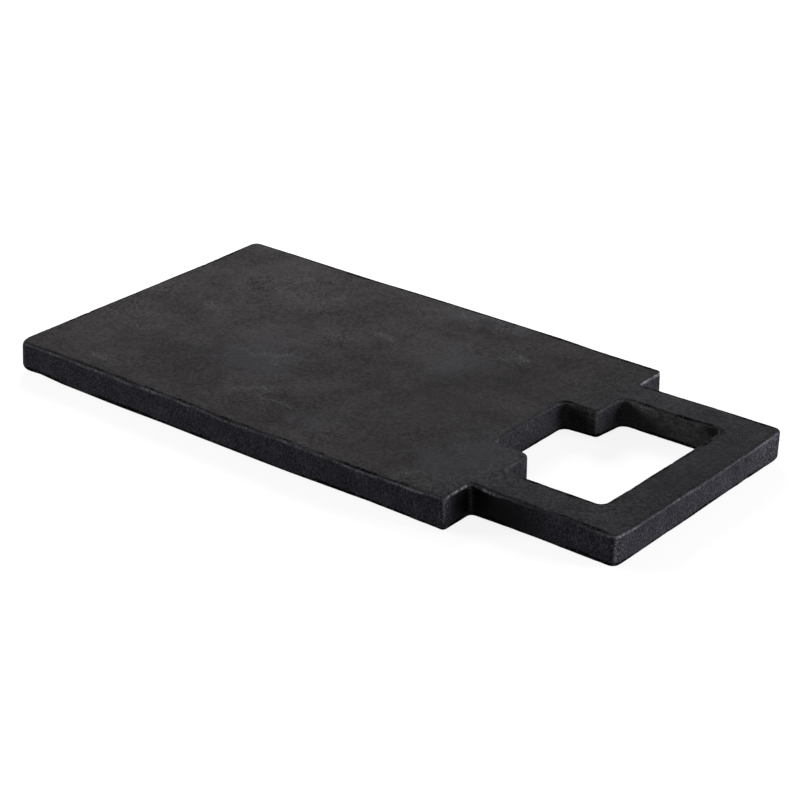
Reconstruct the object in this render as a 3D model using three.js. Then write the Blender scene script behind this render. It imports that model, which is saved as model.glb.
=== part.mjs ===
// Marble serving board: one slab of dark honed marble, sawn as a plain rectangular blade with a
// narrower frame handle at one end. The handle's opening steps in to a notch that runs on into the
// blade. The slab stands on four low rubber feet, each held to its underside by a disc of adhesive.
// Units are millimetres and +Z is up. The origin is on the table, under the middle of the board's
// length and width. +X runs toward the handle.
import * as THREE from 'three';

// Slab
const BLADE_LENGTH = 355; // plain end to the step where the handle begins
const BLADE_WIDTH = 232;
const HANDLE_LENGTH = 102; // step to the handle's end
const HANDLE_WIDTH = 181;
const SLAB_THICKNESS = 20;
const EASED_EDGE = 1.5; // radius ground along every edge of the top and the underside

// Opening, cut right through the slab
const END_BAR = 28.5; // stone left between the opening and the handle's end
const GRIP_LENGTH = 71; // wide part, measured along the board
const GRIP_WIDTH = 126;
const NOTCH_DEPTH = 26.5; // narrow part, from the grip into the blade
const NOTCH_WIDTH = 73;

// Corner radii, seen from above
const BLADE_CORNER = 6; // at the plain end
const STEP_CORNER = 3.5; // outer corner where the blade steps in to the handle
const ROOT_FILLET = 2; // inner corner between the blade and the handle
const HANDLE_CORNER = 5;
const GRIP_FILLET = 5;
const TAB_CORNER = 4; // outer corner where the grip steps in to the notch
const NOTCH_FILLET = 5;

// Feet, standing under the four corners of the blade
const FOOT_DIAMETER = 12; // at the top, against the adhesive
const SOLE_DIAMETER = 10.6; // at the table
const FOOT_HEIGHT = 1.6;
const SOLE_ROUNDING = 0.5; // radius round the sole's rim
const FOOT_INSET = 32; // centre of a foot to the blade's nearest edges
const ADHESIVE_THICKNESS = 0.4;
const ADHESIVE_MARGIN = 0.6; // the disc is cut this much smaller than the foot, all round

// Smoothness of the round stretches
const CORNER_STEPS = 3; // half the number of straight steps in a corner's quarter circle
const EDGE_STEPS = 3; // steps across an eased edge
const FOOT_SIDES = 40;
const RIM_STEPS = 4;

const boardLength = BLADE_LENGTH + HANDLE_LENGTH;
const plainEnd = -boardLength / 2;
const bladeEnd = plainEnd + BLADE_LENGTH;
const handleEnd = boardLength / 2;
const gripEnd = handleEnd - END_BAR;
const gripStart = gripEnd - GRIP_LENGTH;
const notchStart = gripStart - NOTCH_DEPTH;
const slabBase = FOOT_HEIGHT + ADHESIVE_THICKNESS;

const marble = new THREE.MeshStandardMaterial({ color: '#302f30', roughness: 0.5, metalness: 0 });
const rubber = new THREE.MeshStandardMaterial({ color: '#1b1b1c', roughness: 0.85, metalness: 0 });
const adhesive = new THREE.MeshStandardMaterial({ color: '#cfc9b4', roughness: 0.6, metalness: 0 });

// A corner of an outline, with the radius it is rounded to.
function corner(x, y, radius) {
  return { point: new THREE.Vector2(x, y), radius };
}

// Completes an outline that is the same on both sides of the board's centre line.
function withMirror(nearSide) {
  const farSide = nearSide.map(({ point, radius }) => corner(point.x, -point.y, radius));
  return [...nearSide, ...farSide.reverse()];
}

// Draws a closed outline of square corners, each one replaced by a quarter circle that is tangent to
// both of its sides.
function drawRounded(path, corners) {
  corners.forEach(({ point, radius }, i) => {
    const previous = corners.at(i - 1).point;
    const next = corners[(i + 1) % corners.length].point;
    const arriving = point.clone().sub(previous).normalize();
    const leaving = next.clone().sub(point).normalize();
    const centre = point.clone().addScaledVector(arriving, -radius).addScaledVector(leaving, radius);
    const startAngle = Math.atan2(-leaving.y, -leaving.x);
    const endAngle = Math.atan2(arriving.y, arriving.x);
    const clockwise = arriving.cross(leaving) < 0;
    path.absarc(centre.x, centre.y, radius, startAngle, endAngle, clockwise);
  });
  path.closePath();
  return path;
}

// The blade, then a step in to the handle.
function slabOutline() {
  return withMirror([
    corner(plainEnd, -BLADE_WIDTH / 2, BLADE_CORNER),
    corner(bladeEnd, -BLADE_WIDTH / 2, STEP_CORNER),
    corner(bladeEnd, -HANDLE_WIDTH / 2, ROOT_FILLET),
    corner(handleEnd, -HANDLE_WIDTH / 2, HANDLE_CORNER),
  ]);
}

// The notch in the blade, then a step out to the grip inside the handle.
function openingOutline() {
  return withMirror([
    corner(notchStart, -NOTCH_WIDTH / 2, NOTCH_FILLET),
    corner(gripStart, -NOTCH_WIDTH / 2, TAB_CORNER),
    corner(gripStart, -GRIP_WIDTH / 2, GRIP_FILLET),
    corner(gripEnd, -GRIP_WIDTH / 2, GRIP_FILLET),
  ]);
}

// One slab of stone, with every edge of both faces eased to a small quarter round.
function makeSlab() {
  const shape = drawRounded(new THREE.Shape(), slabOutline());
  shape.holes.push(drawRounded(new THREE.Path(), openingOutline()));
  const geometry = new THREE.ExtrudeGeometry(shape, {
    depth: SLAB_THICKNESS - 2 * EASED_EDGE,
    curveSegments: CORNER_STEPS,
    bevelThickness: EASED_EDGE,
    bevelSize: EASED_EDGE,
    bevelOffset: -EASED_EDGE,
    bevelSegments: EDGE_STEPS,
  });
  const slab = new THREE.Mesh(geometry, marble);
  slab.name = 'marble_slab';
  slab.position.z = slabBase + EASED_EDGE;
  return slab;
}

// A moulded foot: a flat sole with a rounded rim, widening to the flat top that takes the adhesive.
function makeFoot() {
  const sole = SOLE_DIAMETER / 2;
  const profile = new THREE.Path();
  profile.moveTo(0, 0);
  profile.lineTo(sole - SOLE_ROUNDING, 0);
  profile.quadraticCurveTo(sole, 0, sole, SOLE_ROUNDING);
  profile.lineTo(FOOT_DIAMETER / 2, FOOT_HEIGHT);
  profile.lineTo(0, FOOT_HEIGHT);
  const geometry = new THREE.LatheGeometry(profile.getPoints(RIM_STEPS), FOOT_SIDES);
  geometry.rotateX(Math.PI / 2);
  return new THREE.Mesh(geometry, rubber);
}

// A die-cut disc of adhesive between the foot and the slab.
function makeAdhesive() {
  const radius = FOOT_DIAMETER / 2 - ADHESIVE_MARGIN;
  const geometry = new THREE.CylinderGeometry(radius, radius, ADHESIVE_THICKNESS, FOOT_SIDES);
  geometry.rotateX(Math.PI / 2);
  const disc = new THREE.Mesh(geometry, adhesive);
  disc.position.z = FOOT_HEIGHT + ADHESIVE_THICKNESS / 2;
  return disc;
}

const board = new THREE.Group();
board.add(makeSlab());

const footColumns = { plain: plainEnd + FOOT_INSET, handle: bladeEnd - FOOT_INSET };
const footRows = { near: -BLADE_WIDTH / 2 + FOOT_INSET, far: BLADE_WIDTH / 2 - FOOT_INSET };
for (const [column, x] of Object.entries(footColumns)) {
  for (const [row, y] of Object.entries(footRows)) {
    const foot = makeFoot();
    foot.name = `foot_${column}_${row}`;
    const disc = makeAdhesive();
    disc.name = `adhesive_${column}_${row}`;
    const place = new THREE.Group();
    place.position.set(x, y, 0);
    place.add(foot, disc);
    board.add(place);
  }
}

export default board;
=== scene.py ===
# %% [markdown]
# # A serving board of dark marble
# The board is one slab of nearly black, honed stone. A plain rectangular blade carries a narrower frame
# handle, and the opening in that frame steps in to a notch. Under the blade are four low rubber feet, each
# held by a disc of adhesive. This lesson dresses the imported solids: it keeps their sizes and places, and
# adds what a sawn and hand-finished stone has, such as uneven easing, chips, clouds and worn edges.
#
# The imported model is loaded first, because every piece below takes its place from it.

# %% Load the imported solids
import math

import bpy
import numpy as np
from mathutils import Matrix, Vector


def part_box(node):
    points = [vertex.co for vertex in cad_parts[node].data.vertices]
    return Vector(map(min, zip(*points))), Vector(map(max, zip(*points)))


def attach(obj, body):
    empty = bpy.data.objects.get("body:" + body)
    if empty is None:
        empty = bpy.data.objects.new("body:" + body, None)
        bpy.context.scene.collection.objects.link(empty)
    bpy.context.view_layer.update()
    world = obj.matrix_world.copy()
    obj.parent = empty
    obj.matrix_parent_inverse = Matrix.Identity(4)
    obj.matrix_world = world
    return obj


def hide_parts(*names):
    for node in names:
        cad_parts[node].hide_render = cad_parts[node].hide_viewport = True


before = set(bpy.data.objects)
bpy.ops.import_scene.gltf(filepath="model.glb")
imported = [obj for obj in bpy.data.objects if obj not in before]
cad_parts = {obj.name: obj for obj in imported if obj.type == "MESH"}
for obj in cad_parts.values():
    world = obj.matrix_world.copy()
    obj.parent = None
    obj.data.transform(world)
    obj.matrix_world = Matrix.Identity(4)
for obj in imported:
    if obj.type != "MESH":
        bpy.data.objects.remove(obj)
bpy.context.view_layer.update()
MM = 0.001

print("solids:", ", ".join(sorted(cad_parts)))

# %% [markdown]
# ## Camera
# The board was seen from above its handle's near corner with a fairly long lens. A camera can be placed by
# eye, but the straight edges of a slab give its place exactly: where they run together fixes the direction,
# and how fast they shrink fixes the distance. Those solved values are written here as angles, and the three
# axes of the camera are worked out from them.

# %% Place the camera
VIEW_AZIMUTH = math.radians(38.85)  # from straight in front of the near long side, round to the handle
VIEW_ELEVATION = math.radians(25.38)
VIEW_ROLL = math.radians(0.18)
VIEW_DISTANCE = 1.4710
VIEW_AIM = Vector((-0.0035, 0.0060, 0.0021))
VIEW_LENS = 103.30
SENSOR_WIDTH = 36.0


def camera_axes(azimuth, elevation, roll):
    """Right, up and back of a camera: back points from the aim to the camera, right is level, and the
    first two are then turned round back by the roll."""
    level = math.cos(elevation)
    back = Vector((math.sin(azimuth) * level, -math.cos(azimuth) * level, math.sin(elevation)))
    right = Vector((0, 0, 1)).cross(back).normalized()
    up = back.cross(right)
    rolled_right = math.cos(roll) * right + math.sin(roll) * up
    rolled_up = math.cos(roll) * up - math.sin(roll) * right
    return rolled_right, rolled_up, back


right, up, back = camera_axes(VIEW_AZIMUTH, VIEW_ELEVATION, VIEW_ROLL)
lens = bpy.data.cameras.new("board_camera")
lens.lens = VIEW_LENS
lens.sensor_width = SENSOR_WIDTH
camera = bpy.data.objects.new("board_camera", lens)
turned_to_board = Matrix((right, up, back)).transposed().to_4x4()
camera.matrix_world = Matrix.Translation(VIEW_AIM + back * VIEW_DISTANCE) @ turned_to_board
bpy.context.scene.collection.objects.link(camera)
bpy.context.scene.camera = camera
print("camera at", tuple(round(v, 3) for v in camera.location))

# %% [markdown]
# ## Outline of the slab and of its opening
# Seen from above, the slab is a closed outline of straight sawcuts with small round corners, and so is the
# opening. Each could be drawn as a curve object, but the surface below needs points at chosen distances
# along both, with the direction that faces out of each. So an outline is worked out as arrays: every square
# corner becomes a quarter circle that is tangent to its two sides, and the sides are what is left between.

# %% Measure the outlines
HANDLE_LENGTH = 102 * MM
HANDLE_WIDTH = 181 * MM
END_BAR = 28.5 * MM
GRIP_LENGTH = 71 * MM
GRIP_WIDTH = 126 * MM
NOTCH_DEPTH = 26.5 * MM
NOTCH_WIDTH = 73 * MM
BLADE_CORNER = 6 * MM
STEP_CORNER = 3.5 * MM
ROOT_FILLET = 2 * MM
HANDLE_CORNER = 5 * MM
GRIP_FILLET = 5 * MM
TAB_CORNER = 4 * MM
NOTCH_FILLET = 5 * MM

slab_low, slab_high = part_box("marble_slab")
plain_end, handle_end = slab_low.x, slab_high.x
near_side = slab_low.y
blade_end = handle_end - HANDLE_LENGTH
grip_end = handle_end - END_BAR
grip_start = grip_end - GRIP_LENGTH
notch_start = grip_start - NOTCH_DEPTH

ARC_POINTS = 33  # an odd number, so that every corner has a middle point


def rounded_outline(near_corners):
    """Points, right-hand normals and distance run of a closed outline with rounded square corners. The near
    side's corners are given as x, y and radius, and the far side is their mirror image. With a and b the
    directions that arrive at and leave a corner p of radius r, the circle's centre is p - r a + r b, and its
    points are centre - r b cos t + r a sin t as t goes from 0 to a quarter turn."""
    near = np.array(near_corners)
    corners = np.vstack([near, near[::-1] * (1, -1, 1)])
    tip, radius = corners[:, None, :2], corners[:, None, 2:]
    arriving = tip - np.roll(tip, 1, axis=0)
    arriving /= np.linalg.norm(arriving, axis=-1, keepdims=True)
    leaving = np.roll(arriving, -1, axis=0)
    turn = np.linspace(0, np.pi / 2, ARC_POINTS)[None, :, None]
    centre = tip - radius * arriving + radius * leaving
    points = (centre - radius * leaving * np.cos(turn) + radius * arriving * np.sin(turn)).reshape(-1, 2)
    along = (arriving * np.cos(turn) + leaving * np.sin(turn)).reshape(-1, 2)
    normals = np.stack([along[:, 1], -along[:, 0]], axis=-1)
    steps = np.linalg.norm(np.roll(points, -1, axis=0) - points, axis=-1)
    run = np.concatenate([[0], np.cumsum(steps)])
    return {"points": points, "normals": normals, "run": run[:-1], "length": run[-1]}


def at_run(outline, run):
    """Points and unit normals of an outline at these distances along it, by straight interpolation."""
    columns = np.hstack([outline["points"], outline["normals"]]).T
    x, y, out_x, out_y = (np.interp(run, outline["run"], c, period=outline["length"]) for c in columns)
    size = np.hypot(out_x, out_y)
    return np.stack([x, y], axis=-1), np.stack([out_x / size, out_y / size], axis=-1)


slab_outline = rounded_outline([
    (plain_end, near_side, BLADE_CORNER),
    (blade_end, near_side, STEP_CORNER),
    (blade_end, -HANDLE_WIDTH / 2, ROOT_FILLET),
    (handle_end, -HANDLE_WIDTH / 2, HANDLE_CORNER),
])
opening_outline = rounded_outline([
    (notch_start, -NOTCH_WIDTH / 2, NOTCH_FILLET),
    (grip_start, -NOTCH_WIDTH / 2, TAB_CORNER),
    (grip_start, -GRIP_WIDTH / 2, GRIP_FILLET),
    (grip_end, -GRIP_WIDTH / 2, GRIP_FILLET),
])
print(f"round the slab {slab_outline['length']:.3f} m, round the opening {opening_outline['length']:.3f} m")

# %% [markdown]
# ## One ring of sections
# A slab with one hole is a ring, like a flattened doughnut. It could be cut out of a block with a boolean,
# but then the edges would be hard to shape. Here every point of the slab's outline is paired with a point of
# the opening's outline, and the section between the two is carried right round. The step beside the handle
# and the tab in the opening lie almost in one line, so a straight section would graze both of them. A third
# outline, halfway across the rails and round the notch, bends each section so that it meets its two edges
# well. The three are paired at a few places, and steps are shared out evenly in between.

# %% Pair the outlines
rail_middle = (HANDLE_WIDTH + GRIP_WIDTH) / 4
MIDDLE_CORNER = 12 * MM
middle_outline = rounded_outline([
    (notch_start - END_BAR / 2, -rail_middle, MIDDLE_CORNER),
    (handle_end - END_BAR / 2, -rail_middle, MIDDLE_CORNER),
])
OUTLINE_STEP = 1.25 * MM  # the longest step between sections
LEAST_STEPS = 10  # sections across a corner


def arc_run(outline, corner, share):
    """Distance along an outline to a share, 0 to 1, of the way through one corner's arc."""
    return outline["run"][corner * ARC_POINTS + round(share * (ARC_POINTS - 1))]


def pair(slab_place, middle_place, opening_place):
    """One pairing: each place is a corner's number, a share of its arc and a distance past that in mm."""
    rings = (slab_outline, middle_outline, opening_outline)
    places = (slab_place, middle_place, opening_place)
    return [arc_run(ring, corner, share) + past * MM for ring, (corner, share, past) in zip(rings, places)]


near_pairs = np.array([
    pair((0, 0, 0), (0, 0, -30), (0, 0, -16)),
    pair((0, 1, 0), (0, 0, -28), (0, 0, -15)),
    pair((1, 0, 0), (0, 1, 0), (0, 1, 11)),
    pair((1, 1, 0), (0, 1, 3), (0, 1, 14)),
    pair((2, 0, 0), (0, 1, 12), (1, 1, 6)),
    pair((2, 1, 0), (0, 1, 19), (2, 0, 0)),
    pair((2, 1, 10), (0, 1, 31), (2, 1, 0)),
    pair((3, 0, 0), (1, 0, 0), (3, 0, 0)),
    pair((3, 1, 0), (1, 1, 0), (3, 1, 0)),
])
mirror_from = np.array([ring["run"][-1] for ring in (slab_outline, middle_outline, opening_outline)])
once_round = np.array([ring["length"] for ring in (slab_outline, middle_outline, opening_outline)])
pairs = np.vstack([near_pairs, mirror_from - near_pairs[::-1], near_pairs[:1] + once_round])
spans = np.diff(pairs, axis=0).max(axis=1)
section_counts = np.maximum(np.ceil(spans / OUTLINE_STEP), LEAST_STEPS).astype(int)
paired_at = np.concatenate([[0], np.cumsum(section_counts)])
section = np.arange(paired_at[-1])
slab_run, middle_run, opening_run = (np.interp(section, paired_at, column) for column in pairs.T)
print(f"{len(section)} sections, {section_counts.min()} to {section_counts.max()} between paired places")

# %% [markdown]
# The direction into the stone is kept for both edges, and so is how squarely each section meets them.

# %% Find the directions into the stone
middle_points, _ = at_run(middle_outline, middle_run)
outlines, facing = {}, {}
for side, outline, run, inward in (
    ("slab", slab_outline, slab_run, -1),
    ("opening", opening_outline, opening_run, 1),
):
    points, normals = at_run(outline, run)
    outlines[side] = (points, inward * normals)
    across = middle_points - points
    facing[side] = inward * (across * normals).sum(axis=1) / np.linalg.norm(across, axis=1)
    print(f"sections meet the {side} edge at {np.degrees(np.arcsin(facing[side].min())):.0f} degrees or more")

# %% [markdown]
# ## Hand-finished edges
# The stone was sawn, then its edges were eased by hand with a rubbing stone. So no edge is quite straight,
# the easing grows and shrinks along it, here and there a small chip has broken out, and a few outer corners
# were knocked round. A bevel modifier would make every edge alike. Instead each edge gets its own radius and
# its own inset at every section, from sums of waves that fit the outline a whole number of times, so that
# they close on themselves.

# %% Let the edges wander
EASED_EDGE = 1.5 * MM
SLOW_UNEVENNESS = 0.22  # as a share of the easing
QUICK_UNEVENNESS = 0.14
SLOW_WAVES = (0.4, 0.05)  # the longest and the shortest wave along an edge, in metres
QUICK_WAVES = (0.03, 0.005)
CUT_WAVES = (0.7, 0.06)
CHIP_DEPTH = 0.6  # in mm
CHIP_SPACING = 20 * MM
CHIP_WIDTH = 3.5 * MM
KNOCK_WIDTH = 5 * MM
SLANTED, SQUARE = 0.3, 0.8  # how squarely a section meets its edge: calm at the first, free at the second
NEAR_PLAIN, HANDLE_NEAR, HANDLE_FAR = 0, 3, 4  # outer corners by their number along the slab's outline
NEAR_TAB = 1  # along the opening's outline


def wander(run, length, slowest, fastest, seed):
    """A closed random curve along an outline, roughly from -1 to 1: a sum of cosines whose wavelengths lie
    between the two given lengths, each weaker as it gets shorter, with random phases."""
    draw = np.random.default_rng(seed)
    cycles = np.arange(max(1, round(length / slowest)), round(length / fastest) + 1)[:, None]
    weight = cycles ** -0.5
    phase = draw.uniform(0, 2 * np.pi, cycles.shape)
    curve = (weight * np.cos(2 * np.pi * cycles * run / length + phase)).sum(axis=0)
    return curve / np.abs(curve).max()


def chips(run, length, spacing, widest, seed):
    """Depths from 0 to 1 of chips along an outline: narrow bell shapes at random places, most of them
    small, of which the deepest counts wherever two meet."""
    draw = np.random.default_rng(seed)
    count = round(length / spacing)
    place = draw.uniform(0, length, count)[:, None]
    depth = draw.uniform(0, 1, count)[:, None] ** 3
    width = widest * draw.uniform(0.35, 1, count)[:, None]
    offset = (run - place + length / 2) % length - length / 2
    return (depth * np.exp(-((offset / width) ** 4))).max(axis=0)


def beside_corners(run, outline, strengths, width):
    """Closeness to corners, from 0 to the corner's strength: a bell shape round the middle of each arc. The
    corners are given by their number along the outline."""
    middle = np.array([arc_run(outline, corner, 0.5) for corner in strengths])[:, None]
    strength = np.array([*strengths.values()])[:, None]
    offset = (run - middle + outline["length"] / 2) % outline["length"] - outline["length"] / 2
    return (strength * np.exp(-((offset / width) ** 2))).max(axis=0, initial=0)


def hand_eased(side, outline, run, knocks, seed):
    """Radius of an eased edge at each section: the usual one, made uneven by slow and quick waves, and
    widened where a chip has broken out or a corner was knocked, by so many mm. Sections that slant across
    an edge stay calm, so that none cross."""
    length = outline["length"]
    calm = np.clip((facing[side] - SLANTED) / (SQUARE - SLANTED), 0, 1)
    slow = SLOW_UNEVENNESS * wander(run, length, *SLOW_WAVES, seed)
    quick = QUICK_UNEVENNESS * wander(run, length, *QUICK_WAVES, seed + 1) * calm
    broken = CHIP_DEPTH * chips(run, length, CHIP_SPACING, CHIP_WIDTH, seed + 2) * calm
    knocked = beside_corners(run, outline, knocks, KNOCK_WIDTH)
    return EASED_EDGE * (1 + slow + quick) + (broken + knocked) * MM


def hand_cut(run, outline, depth, seed):
    """Inset of an edge from its true line: never negative, up to the given depth, in slow waves."""
    return depth * (0.5 + 0.5 * wander(run, outline["length"], *CUT_WAVES, seed))


top_knocks = {NEAR_PLAIN: 2.0, HANDLE_FAR: 0.5}  # in mm
bottom_knocks = {NEAR_PLAIN: 2.6, HANDLE_NEAR: 0.6, HANDLE_FAR: 1.4}
edge_radius = {
    ("slab", "top"): hand_eased("slab", slab_outline, slab_run, top_knocks, 11),
    ("slab", "bottom"): hand_eased("slab", slab_outline, slab_run, bottom_knocks, 21),
    ("opening", "top"): hand_eased("opening", opening_outline, opening_run, {NEAR_TAB: 1.0}, 31),
    ("opening", "bottom"): hand_eased("opening", opening_outline, opening_run, {}, 41),
}
edge_inset = {
    ("slab", "top"): hand_cut(slab_run, slab_outline, 0.7 * MM, 51),
    ("slab", "bottom"): hand_cut(slab_run, slab_outline, 0.5 * MM, 61),
    ("opening", "top"): hand_cut(opening_run, opening_outline, 0.6 * MM, 71),
    ("opening", "bottom"): hand_cut(opening_run, opening_outline, 0.5 * MM, 81),
}
for edge, radius in edge_radius.items():
    print("eased", *edge, f"{radius.min() / MM:.2f} to {radius.max() / MM:.2f} mm")

# %% [markdown]
# ## The slab's surface
# The section is now carried round: up the outer wall, over the eased edge, across the top, down through the
# opening and back along the underside. It is a function of two numbers, the place along the outline and the
# place round the section, so the whole slab is one closed grid of quads. Rows stand close together beside
# each eased edge, which keeps the large faces flat when they are shaded smoothly. Each point also remembers
# how far it lies from the nearest edge, below zero on a face and above zero on a wall. The stone's
# material reads that to put wear where hands and cloths have rubbed.

# %% Work out the slab's rows
EDGE_ROWS = 8
WALL_SHARES = np.array([0.03, 0.12, 0.3, 0.5, 0.7, 0.88, 0.97])
SUPPORT = np.array([0.4, 1.2, 3.0, 7.0]) * MM  # rows beside an eased edge, across the flat faces
FACE_SHARES = np.linspace(0, 1, 6)[1:]
FAR_FROM_EDGE = 15 * MM


def eased_rows(side, face, turn):
    """Rows of an eased edge as points and distances from its middle. At a turn of 0 the row lies on the
    wall, and at a quarter turn on the face: the inset is r (1 - cos turn) and the drop r (1 - sin turn)."""
    points, into_stone = outlines[side]
    radius = edge_radius[side, face]
    inset = edge_inset[side, face] + radius * (1 - np.cos(turn[:, None]))
    drop = radius * (1 - np.sin(turn[:, None]))
    height = slab_high.z - drop if face == "top" else slab_low.z + drop
    flat = points + into_stone * inset[..., None]
    rim = radius * (np.pi / 4 - turn[:, None])
    return np.dstack([flat, height]), rim, np.full(rim.shape, side == "opening")


def wall_rows(side):
    """Rows of a sawn wall, from its lower edge to its upper one, on straight lines between the two."""
    on_wall = np.zeros(1)
    low, low_rim, _ = eased_rows(side, "bottom", on_wall)
    high, high_rim, _ = eased_rows(side, "top", on_wall)
    share = WALL_SHARES[:, None]
    height = high[0, :, 2] - low[0, :, 2]
    rim = np.minimum(low_rim + share * height, high_rim + (1 - share) * height)
    return low + share[..., None] * (high - low), rim, np.full(rim.shape, side == "opening")


def half_face(side, face):
    """Rows across a flat face from one edge to the middle outline: at set distances from the edge, then at
    even shares of what is left. The distance from the edge is square to it, so it shrinks with the slant."""
    start, start_rim, _ = eased_rows(side, face, np.array([np.pi / 2]))
    height = slab_high.z if face == "top" else slab_low.z
    stop = np.column_stack([middle_points, np.full(len(middle_points), height)])
    reach = np.linalg.norm(stop - start, axis=-1)
    beside = SUPPORT[:, None] + 0 * reach
    distance = np.vstack([beside, SUPPORT[-1] + FACE_SHARES[:, None] * (reach - SUPPORT[-1])])
    rows = start + (distance / reach)[..., None] * (stop - start)
    rim = np.maximum(start_rim - distance * facing[side], -FAR_FROM_EDGE)
    return rows, rim, np.full(rim.shape, side == "opening")


def face_rows(face):
    """Rows right across a flat face, from the slab's edge over the middle outline to the opening's."""
    first, second = half_face("slab", face), half_face("opening", face)
    return [np.concatenate([here, there[-2::-1]]) for here, there in zip(first, second)]


def turned_back(rows):
    """The same rows in the opposite order."""
    return [values[::-1] for values in rows]


quarter = np.linspace(0, np.pi / 2, EDGE_ROWS)
slab_rows = [
    wall_rows("slab"),
    eased_rows("slab", "top", quarter),
    face_rows("top"),
    eased_rows("opening", "top", quarter[::-1]),
    turned_back(wall_rows("opening")),
    eased_rows("opening", "bottom", quarter),
    turned_back(face_rows("bottom")),
    eased_rows("slab", "bottom", quarter[::-1]),
]
slab_grid, slab_rim, in_opening = (np.concatenate(parts) for parts in zip(*slab_rows))
print("grid of", slab_grid.shape[0], "rows by", slab_grid.shape[1], "sections")

# %% [markdown]
# The saw was led by hand, so no cut lies quite on the line that was drawn for it. The step on the near side
# leans back, the plain end and the far side run askew, the opening sits a little nearer to the far side, and
# the handle's end is undercut. A knife tool could redo each cut, but a smooth shift of all points near it
# keeps the grid whole. How far each cut lies inside its line was measured at a few places along it. The
# outermost faces only ever lose stone, so the board stays inside the box of its solids.

# %% Write down where the cuts lie
# A mark is a distance and how far the cut lies inside its line there, both in mm. Along the board the
# distance is taken from the plain end, and across the board from the middle.
NEAR_TOP = [
    (0, 1.7), (60, 3.1), (120, 2.2), (180, 0.9), (240, 0.0), (300, 0.9), (355, 1.0), (372, 1.9),
    (405, 1.7), (457, 1.2),
]
NEAR_BOTTOM = [
    (0, 0.4), (18, 2.4), (40, 0.5), (80, 0.0), (240, 0.0), (275, 1.1), (300, 1.8), (355, 0.9), (372, 1.6),
    (405, 2.2), (457, 1.1),
]
FAR = [
    (0, 0.0), (60, 0.6), (120, 1.2), (180, 0.0), (240, 0.0), (275, 0.6), (300, 1.9), (355, 2.5), (405, 1.9),
    (457, 1.6),
]
PLAIN_END = [(-116, 0.0), (-56, 0.2), (4, 1.0), (64, 1.6), (116, 1.5)]
HANDLE_END_TOP = [(-90, 1.2), (-30, 0.0), (90, 0.0)]
HANDLE_END_BOTTOM = [(-90, 1.8), (-30, 1.5), (30, 1.6), (90, 0.8)]
BAR_INSIDE = [(-63, -1.4), (63, 0.3)]
NOTCH_END = [(-36, 0.0), (36, 0.8), (63, 0.8), (90, 1.2)]  # and on to the far tab and the far step

cuts = (NEAR_TOP, NEAR_BOTTOM, FAR, PLAIN_END, HANDLE_END_TOP, HANDLE_END_BOTTOM, BAR_INSIDE, NOTCH_END)
print(sum(len(cut) for cut in cuts), "marks along", len(cuts), "edges")

# %% [markdown]
# Each shift is full along its own cut and fades on the way to the next one. A straight fade would leave a
# kink in the large faces, so it follows a smooth step between two distances.

# %% Let the cuts stray
OPENING_SHIFT = 1.4 * MM  # toward the far side
STEP_LEAN = 2.5 * MM
LEAN_REACH = 30 * MM
LEAN_LOST = 0.2  # share of the lean that is gone at the blade's corner
STEP_TURN = 2.0 * MM  # the near step's upper corners lie this much further over
TURN_REACH = 14 * MM
TAB_BACK = 1.8 * MM  # the far tab's lower corner lies this much nearer to the plain end
BACK_LOST = 0.65  # share of that which is gone at its upper corner
TAB_OVER = 1.4 * MM  # the lower corner also lies this much nearer to the far side
TAB_REACH = 16 * MM
OPENING_FADE = (-20 * MM, 20 * MM)  # across the board, between the opening's long walls
RAIL_FADE = (GRIP_WIDTH / 2 + 1 * MM, HANDLE_WIDTH / 2 - 2 * MM)  # across each rail, from the middle
PLAIN_FADE = (10 * MM, 80 * MM)  # along the board, from the plain end
NOTCH_FADE = (notch_start - 40 * MM, notch_start - 2 * MM)
TAB_FADE = (grip_start + 4 * MM, grip_start + 30 * MM)
BAR_FADE = (grip_start + 35 * MM, grip_end - 4 * MM)
END_FADE = (grip_end + 3 * MM, handle_end - 5 * MM)


def smooth_step(value, start, stop):
    """0 before start, 1 after stop, and 3 s s - 2 s s s in between."""
    share = np.clip((value - start) / (stop - start), 0, 1)
    return share * share * (3 - 2 * share)


def inside_line(marks, place):
    """How far a cut lies inside its line at each place, by straight lines between marks in mm."""
    distance, depth = np.array(marks).T * MM
    return np.interp(place, distance, depth)


def between_edges(lower, upper, place, upward):
    """The same for a wall whose lower and upper edge have their own marks, by the share of the height."""
    return (1 - upward) * inside_line(lower, place) + upward * inside_line(upper, place)


def moved_across(x, y, upward, to_near, far_tab):
    """y plus what the cuts along the board strayed: the near and the far side go inward and the opening goes
    to the far side, each times its fade. Bell shapes turn the near step's top and the far tab's foot."""
    run = x - plain_end
    to_far = smooth_step(y, *RAIL_FADE)
    near = between_edges(NEAR_BOTTOM, NEAR_TOP, run, upward)
    turn = STEP_TURN * upward * np.exp(-(((x - blade_end) / TURN_REACH) ** 4))
    shift = OPENING_SHIFT * (1 - upward * smooth_step(y, *OPENING_FADE))
    moved = y + (near + turn) * to_near - inside_line(FAR, run) * to_far + shift * (1 - to_near - to_far)
    return moved + TAB_OVER * (1 - upward) * far_tab


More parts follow.
